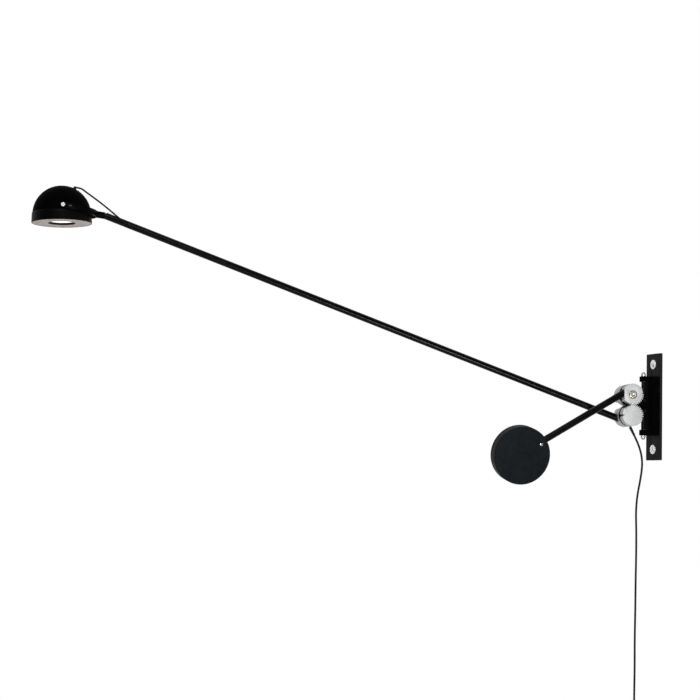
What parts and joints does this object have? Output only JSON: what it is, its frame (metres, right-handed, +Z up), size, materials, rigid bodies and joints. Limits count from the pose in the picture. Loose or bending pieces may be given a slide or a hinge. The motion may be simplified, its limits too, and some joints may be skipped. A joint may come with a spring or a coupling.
{
  "type": "articulating wall lamp",
  "caption": "Articulating wall lamp: a swivelling geared hinge joins a long light arm, whose fork holds a domed tilting head, to a short arm with a round disc counterweight.",
  "frame": {"origin": "middle of the wall plate's back face, which lies on the wall", "axes": "+X into the wall, +Z up, +Y along the wall; the lamp stands out towards -X"},
  "size_m": [1.7889, 0.603, 1.6138],
  "materials": {
    "grey_steel": "dark grey satin paint",
    "black_steel": "matt black powder coat",
    "weight_steel": "satin dark grey paint",
    "black_aluminium": "satin black paint",
    "ring_aluminium": "semi-gloss dark grey paint",
    "taupe_aluminium": "matt taupe paint",
    "drum_aluminium": "fine turned, clear anodised",
    "bare_aluminium": "bare",
    "zinc": "bright zinc",
    "screw_brass": "yellowish zinc",
    "bush_plastic": "moulded bearing plastic",
    "black_plastic": "moulded",
    "white_plastic": "moulded",
    "diffuser_plastic": "opal",
    "cord_rubber": "smooth"
  },
  "bodies": {
    "wall_bracket": {"wall_plate": "grey_steel", "wall_washers": "zinc", "wall_screws": "zinc", "bracket_body": "black_steel", "bracket_screws": "zinc", "pin_bushes": "bush_plastic"},
    "swivel": {"swivel_pin": "black_steel", "pin_washers": "zinc", "pin_nuts": "zinc", "swivel_hub": "black_steel", "hub_grub_screw": "zinc", "carrier_plate": "black_steel", "carrier_screws": "black_steel", "axle_bushes": "bush_plastic", "cord_gland": "black_plastic", "power_cord": "cord_rubber", "cord_coil": "cord_rubber", "cord_tie": "black_plastic", "plug_body": "black_plastic", "plug_pins": "zinc"},
    "light_arm": {"lower_axle": "zinc", "lower_axle_screw": "screw_brass", "lower_front_drum": "drum_aluminium", "lower_rear_drum": "drum_aluminium", "light_arm_tube": "black_steel", "light_arm_grub_screws": "zinc", "arm_lead": "cord_rubber", "head_cable": "cord_rubber", "fork": "black_steel", "fork_keys": "zinc", "fork_spigot": "black_steel"},
    "weight_arm": {"upper_axle": "zinc", "upper_axle_screw": "screw_brass", "upper_front_drum": "drum_aluminium", "upper_rear_drum": "drum_aluminium", "weight_arm_tube": "black_steel", "weight_arm_grub_screws": "zinc", "weight_front_half": "weight_steel", "weight_rear_half": "weight_steel", "weight_clamp_screws": "zinc", "weight_set_screw": "zinc"},
    "head": {"dome_shell": "black_aluminium", "head_ring": "ring_aluminium", "face_plate": "taupe_aluminium", "recess_tube": "black_plastic", "diffuser": "diffuser_plastic", "light_chamber": "white_plastic", "led_board": "white_plastic", "heat_sink": "bare_aluminium", "pivot_blocks": "black_aluminium", "pivot_spacers": "black_plastic", "pivot_screws": "zinc", "dome_grommet": "black_plastic"}
  },
  "joints": [
    {"name": "swivel_turn", "type": "hinge", "parent": "wall_bracket", "child": "swivel", "pos_m": [-0.0415, 0, 0.002], "axis": [0, 0, 1], "range_deg": [-34.5, 65.5]},
    {"name": "light_arm_lift", "type": "hinge", "parent": "swivel", "child": "light_arm", "pos_m": [-0.08438, 0.01189, -0.028], "axis": [0.2672, 0.9636, 0], "range_deg": [-85, 18]},
    {"name": "weight_arm_lift", "type": "hinge", "parent": "swivel", "child": "weight_arm", "pos_m": [-0.08438, 0.01189, 0.032], "axis": [0.2672, 0.9636, 0], "range_deg": [-18, 85]},
    {"name": "head_tilt", "type": "hinge", "parent": "light_arm", "child": "head", "pos_m": [-1.67924, 0.47235, 0.52086], "axis": [0.2672, 0.9636, 0], "range_deg": [-15, 45], "deforming": ["head_cable"]}
  ],
  "couplings": [
    {"joint": "weight_arm_lift", "follows": "light_arm_lift", "ratio": -1}
  ]
}
